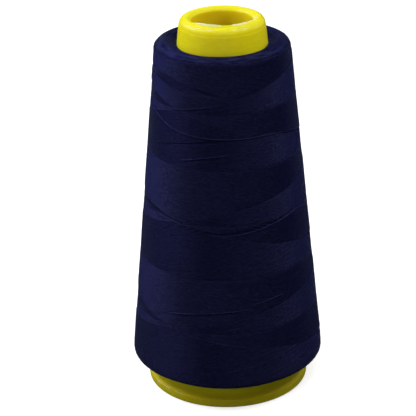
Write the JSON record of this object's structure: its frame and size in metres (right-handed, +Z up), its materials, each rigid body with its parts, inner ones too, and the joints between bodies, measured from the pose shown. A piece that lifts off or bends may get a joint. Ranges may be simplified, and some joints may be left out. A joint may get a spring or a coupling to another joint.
{
  "type": "spool of thread",
  "caption": "Cone of cross-wound sewing thread on a conical plastic core, which stands on its flanged foot and is open through the nose.",
  "frame": {"origin": "centre of the foot, on the surface that the cone stands on", "axes": "+Z up the axis of the cone, from the foot to the nose; +X to the right and -Y towards the viewer"},
  "size_m": [0.0852, 0.085, 0.17],
  "materials": {
    "core_plastic": "semi-gloss moulded yellow polypropylene",
    "thread": "navy spun polyester sewing thread with a slight sheen"
  },
  "bodies": {
    "root": {"cone_core": "core_plastic", "wound_thread": "thread", "thread_turns": "thread"}
  },
  "joints": []
}
